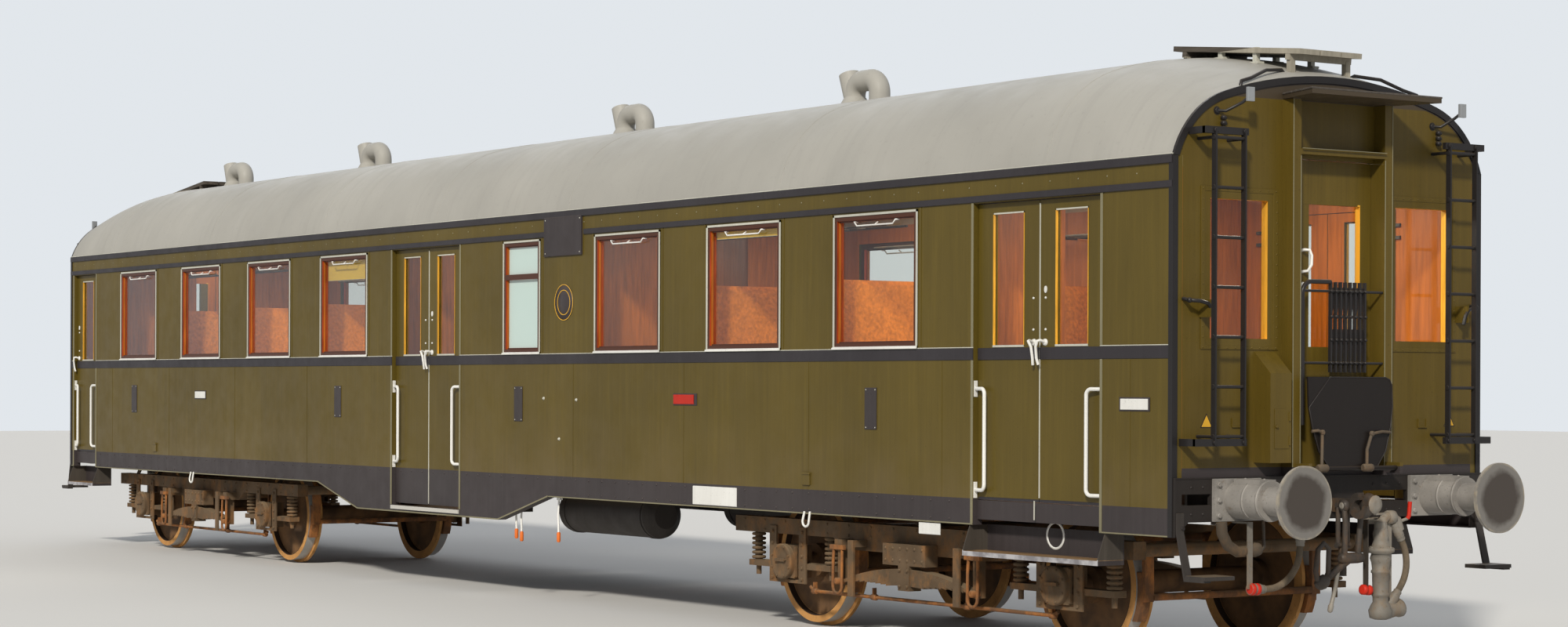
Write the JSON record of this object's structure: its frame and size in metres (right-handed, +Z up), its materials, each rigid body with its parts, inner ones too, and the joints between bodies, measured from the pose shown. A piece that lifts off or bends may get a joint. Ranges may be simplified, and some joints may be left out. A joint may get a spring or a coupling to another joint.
{
  "type": "bogie passenger coach",
  "caption": "Olive passenger railway coach with wooden-framed windows, recessed side doors, open gangways, leaf-sprung bogies and screw couplings.",
  "frame": {"origin": "centre line of the coach, halfway along, level with the wheel flanges' lowest points", "axes": "+X towards the handbrake end, +Y to the side away from the pictured one, +Z up; the rail top is at Z 28 mm"},
  "size_m": [20, 2.88, 4.37],
  "materials": {
    "body_green": "weathered olive gloss paint with dark bands",
    "end_green": "weathered olive paint, shaded end",
    "roof_grey": "matt warm grey paint",
    "door_paint": "weathered olive paint with dark bands",
    "varnished_wood": "varnished red-brown wood",
    "window_pane": "clear glass, dusty",
    "end_black": "semi-gloss black paint",
    "chassis_black": "dull black paint, dusty",
    "floor_cover": "worn floor covering",
    "walkway_grey": "weathered grey boards",
    "handle_white": "white gloss paint",
    "buffer_steel": "weathered grey with a greasy middle",
    "worn_iron": "greasy dark iron",
    "bench_wood": "varnished orange-brown slats",
    "inner_panel": "painted panelling",
    "hose_rubber": "aged black rubber",
    "blind_cloth": "faded yellow cloth",
    "tread_steel": "black paint, worn at the edges",
    "bogie_steel": "dusty brown steel",
    "rusty_iron": "brake-dust orange rust",
    "wheel_steel": "rust-brown steel with a bright tread"
  },
  "bodies": {
    "carbody": {"side_wall_left": "body_green", "side_wall_right": "body_green", "roof": "roof_grey", "end_wall_near": "end_green", "end_wall_far": "end_green", "window_frames": "varnished_wood", "window_glass": "window_pane", "gangway_portals": "end_black", "underframe": "chassis_black", "floor": "floor_cover", "step_wells": "floor_cover", "roof_vents": "roof_grey", "roof_walkways": "walkway_grey", "grab_handles": "handle_white", "entrance_steps": "chassis_black", "corner_steps": "chassis_black", "ladders": "end_black", "buffer_housings": "buffer_steel", "buffer_heads": "buffer_steel", "draw_gear": "worn_iron", "benches": "bench_wood", "partitions": "inner_panel", "lattice_gates": "worn_iron", "end_fittings": "end_black", "air_tanks": "chassis_black", "brake_rigging": "worn_iron", "end_pipes": "chassis_black", "brake_hose_near_left": "hose_rubber", "brake_hose_near_right": "hose_rubber", "brake_hose_far_left": "hose_rubber", "brake_hose_far_right": "hose_rubber", "blinds": "blind_cloth", "door_hinges": "worn_iron"},
    "door_near_a_left": {"door_near_a_left": "door_paint"},
    "door_near_b_left": {"door_near_b_left": "door_paint"},
    "door_mid_a_left": {"door_mid_a_left": "door_paint"},
    "door_mid_b_left": {"door_mid_b_left": "door_paint"},
    "door_far_left": {"door_far_left": "door_paint"},
    "door_near_a_right": {"door_near_a_right": "door_paint"},
    "door_near_b_right": {"door_near_b_right": "door_paint"},
    "door_mid_a_right": {"door_mid_a_right": "door_paint"},
    "door_mid_b_right": {"door_mid_b_right": "door_paint"},
    "door_far_right": {"door_far_right": "door_paint"},
    "end_door_near": {"end_door_near": "door_paint"},
    "bridge_plate_near": {"bridge_plate_near": "tread_steel"},
    "bogie_near": {"bogie_frame_near": "bogie_steel", "axle_boxes_near": "bogie_steel", "springs_near": "bogie_steel", "brake_gear_near": "rusty_iron"},
    "wheelset_near_outer": {"wheelset_near_outer": "wheel_steel"},
    "wheelset_near_inner": {"wheelset_near_inner": "wheel_steel"},
    "end_door_far": {"end_door_far": "door_paint"},
    "bridge_plate_far": {"bridge_plate_far": "tread_steel"},
    "bogie_far": {"bogie_frame_far": "bogie_steel", "axle_boxes_far": "bogie_steel", "springs_far": "bogie_steel", "brake_gear_far": "rusty_iron"},
    "wheelset_far_outer": {"wheelset_far_outer": "wheel_steel"},
    "wheelset_far_inner": {"wheelset_far_inner": "wheel_steel"}
  },
  "joints": [
    {"name": "door_near_a_left_hinge", "type": "hinge", "parent": "carbody", "child": "door_near_a_left", "pos_m": [7.377, -1.293, 1.2], "axis": [0, 0, 1], "range_deg": [0, 88]},
    {"name": "door_near_b_left_hinge", "type": "hinge", "parent": "carbody", "child": "door_near_b_left", "pos_m": [8.639, -1.293, 1.2], "axis": [0, 0, -1], "range_deg": [0, 88]},
    {"name": "door_mid_a_left_hinge", "type": "hinge", "parent": "carbody", "child": "door_mid_a_left", "pos_m": [-1.257, -1.293, 1.2], "axis": [0, 0, 1], "range_deg": [0, 88]},
    {"name": "door_mid_b_left_hinge", "type": "hinge", "parent": "carbody", "child": "door_mid_b_left", "pos_m": [-0.004, -1.293, 1.2], "axis": [0, 0, -1], "range_deg": [0, 88]},
    {"name": "door_far_left_hinge", "type": "hinge", "parent": "carbody", "child": "door_far_left", "pos_m": [-8.618, -1.293, 1.2], "axis": [0, 0, -1], "range_deg": [0, 88]},
    {"name": "door_near_a_right_hinge", "type": "hinge", "parent": "carbody", "child": "door_near_a_right", "pos_m": [7.377, 1.293, 1.2], "axis": [0, 0, -1], "range_deg": [0, 88]},
    {"name": "door_near_b_right_hinge", "type": "hinge", "parent": "carbody", "child": "door_near_b_right", "pos_m": [8.639, 1.293, 1.2], "axis": [0, 0, 1], "range_deg": [0, 88]},
    {"name": "door_mid_a_right_hinge", "type": "hinge", "parent": "carbody", "child": "door_mid_a_right", "pos_m": [-1.257, 1.293, 1.2], "axis": [0, 0, -1], "range_deg": [0, 88]},
    {"name": "door_mid_b_right_hinge", "type": "hinge", "parent": "carbody", "child": "door_mid_b_right", "pos_m": [-0.004, 1.293, 1.2], "axis": [0, 0, 1], "range_deg": [0, 88]},
    {"name": "door_far_right_hinge", "type": "hinge", "parent": "carbody", "child": "door_far_right", "pos_m": [-8.618, 1.293, 1.2], "axis": [0, 0, 1], "range_deg": [0, 88]},
    {"name": "end_door_near_hinge", "type": "hinge", "parent": "carbody", "child": "end_door_near", "pos_m": [9.268, -0.352, 1.4], "axis": [0, 0, 1], "range_deg": [0, 88]},
    {"name": "bridge_plate_near_hinge", "type": "hinge", "parent": "carbody", "child": "bridge_plate_near", "pos_m": [9.54, 0, 1.318], "axis": [0, 1, 0], "range_deg": [0, 93]},
    {"name": "bogie_near_yaw", "type": "hinge", "parent": "carbody", "child": "bogie_near", "pos_m": [6.3, 0, 0.838], "axis": [0, 0, 1], "range_deg": [-3.5, 3.5]},
    {"name": "wheelset_near_outer_spin", "type": "hinge", "parent": "bogie_near", "child": "wheelset_near_outer", "pos_m": [7.9, 0, 0.503], "axis": [0, 1, 0], "continuous": true},
    {"name": "wheelset_near_inner_spin", "type": "hinge", "parent": "bogie_near", "child": "wheelset_near_inner", "pos_m": [4.7, 0, 0.503], "axis": [0, 1, 0], "continuous": true},
    {"name": "end_door_far_hinge", "type": "hinge", "parent": "carbody", "child": "end_door_far", "pos_m": [-9.268, -0.352, 1.4], "axis": [0, 0, -1], "range_deg": [0, 88]},
    {"name": "bridge_plate_far_hinge", "type": "hinge", "parent": "carbody", "child": "bridge_plate_far", "pos_m": [-9.54, 0, 1.318], "axis": [0, -1, 0], "range_deg": [0, 93]},
    {"name": "bogie_far_yaw", "type": "hinge", "parent": "carbody", "child": "bogie_far", "pos_m": [-6.3, 0, 0.838], "axis": [0, 0, 1], "range_deg": [-3.5, 3.5]},
    {"name": "wheelset_far_outer_spin", "type": "hinge", "parent": "bogie_far", "child": "wheelset_far_outer", "pos_m": [-7.9, 0, 0.503], "axis": [0, 1, 0], "continuous": true},
    {"name": "wheelset_far_inner_spin", "type": "hinge", "parent": "bogie_far", "child": "wheelset_far_inner", "pos_m": [-4.7, 0, 0.503], "axis": [0, 1, 0], "continuous": true}
  ]
}
